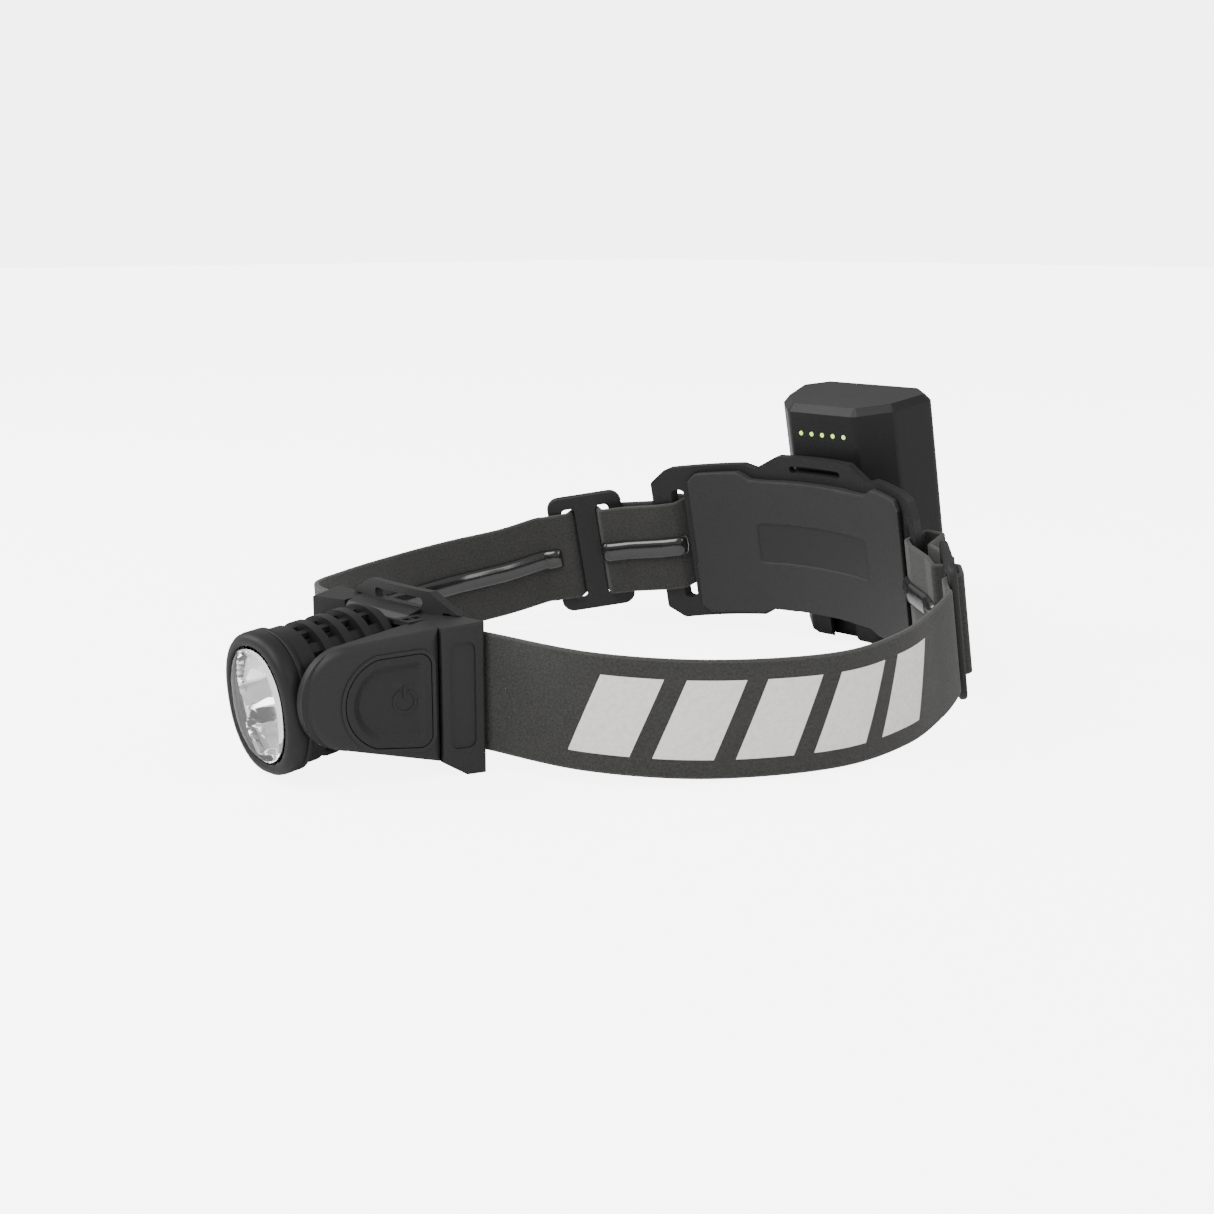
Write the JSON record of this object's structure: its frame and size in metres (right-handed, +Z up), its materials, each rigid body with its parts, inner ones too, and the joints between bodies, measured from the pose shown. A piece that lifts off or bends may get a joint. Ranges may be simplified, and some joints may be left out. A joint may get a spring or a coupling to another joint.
{
  "type": "headlamp",
  "caption": "Adjustable headlamp: tilting lamp head on a forehead bracket with side button, elastic strap with sliders, and a slide-off battery pack on a padded rear plate.",
  "frame": {"origin": "middle of the overall box in plan, on the surface that the headlamp stands on", "axes": "+Z up, the lamp faces -Y, the wearer's left side (power button) is +X"},
  "size_m": [0.187, 0.2552, 0.0831],
  "materials": {
    "head_black": "black anodised, fine satin",
    "clear_lens": "clear polished",
    "seal_rubber": "matt moulded rubber",
    "reflector_chrome": "vacuum-metallised mirror",
    "board_green": "solder-masked board",
    "led_phosphor": "yellow phosphor",
    "housing_plastic": "dark moulded nylon, fine grain",
    "pad_foam": "closed-cell foam",
    "screw_steel": "turned steel",
    "washer_nylon": "nylon",
    "button_rubber": "soft-touch moulded",
    "switch_plastic": "moulded",
    "webbing": "woven elastic, mottled charcoal",
    "grip_silicone": "glossy silicone",
    "slider_plastic": "moulded acetal",
    "plate_plastic": "dark moulded nylon",
    "pad_rubber": "fine-grained soft moulding",
    "label_inlay": "blank satin inlay",
    "contact_brass": "gold plated",
    "battery_black": "semi-matt moulded",
    "cell_wrap": "shrink wrap",
    "charge_light": "lit light pipe",
    "port_steel": "stamped"
  },
  "bodies": {
    "headband": {"forehead_bracket": "housing_plastic", "forehead_pad": "pad_foam", "pivot_screws": "screw_steel", "friction_washers": "washer_nylon", "arm_cover_left": "housing_plastic", "arm_cover_right": "housing_plastic", "button_seal": "seal_rubber", "power_switch": "switch_plastic", "switch_board": "board_green", "strap_holder_left": "housing_plastic", "strap_holder_right": "housing_plastic", "strap_pin_left": "screw_steel", "strap_pin_right": "screw_steel", "strap_left": "webbing", "strap_right": "webbing", "grip_strip_left": "grip_silicone", "grip_strip_right": "grip_silicone", "slider_left": "slider_plastic", "slider_right": "slider_plastic", "rear_plate": "plate_plastic", "rear_pad": "pad_rubber", "pad_label": "label_inlay", "battery_dock": "plate_plastic", "dock_screws": "screw_steel", "contact_pins": "contact_brass"},
    "lamp_head": {"bezel": "head_black", "lens": "clear_lens", "lens_gasket": "seal_rubber", "reflector": "reflector_chrome", "led_board": "board_green", "led_emitters": "led_phosphor", "heat_sink": "head_black", "head_rear_cap": "head_black"},
    "button": {"power_button": "button_rubber"},
    "battery": {"battery_shell": "battery_black", "battery_end_cap": "battery_black", "battery_cells": "cell_wrap", "battery_board": "board_green", "charge_lights": "charge_light", "battery_contacts": "contact_brass", "charge_port": "port_steel", "port_cover_pin": "battery_black"},
    "port_flap": {"port_cover": "seal_rubber"}
  },
  "joints": [
    {"name": "head_tilt", "type": "hinge", "parent": "headband", "child": "lamp_head", "pos_m": [0, -0.10701, 0.0206], "axis": [1, 0, 0], "range_deg": [-8, 50]},
    {"name": "power_press", "type": "slide", "parent": "headband", "child": "button", "axis": [-0.9529, 0.3032, 0], "range_m": [0, 0.0005], "stiffness_N_per_m": 2000},
    {"name": "battery_slide", "type": "slide", "parent": "headband", "child": "battery", "axis": [0, -0.2079, 0.9781], "range_m": [0, 0.054]},
    {"name": "port_cover_hinge", "type": "hinge", "parent": "battery", "child": "port_flap", "pos_m": [0, 0.12324, 0.03188], "axis": [1, 0, 0], "range_deg": [0, 110]}
  ]
}
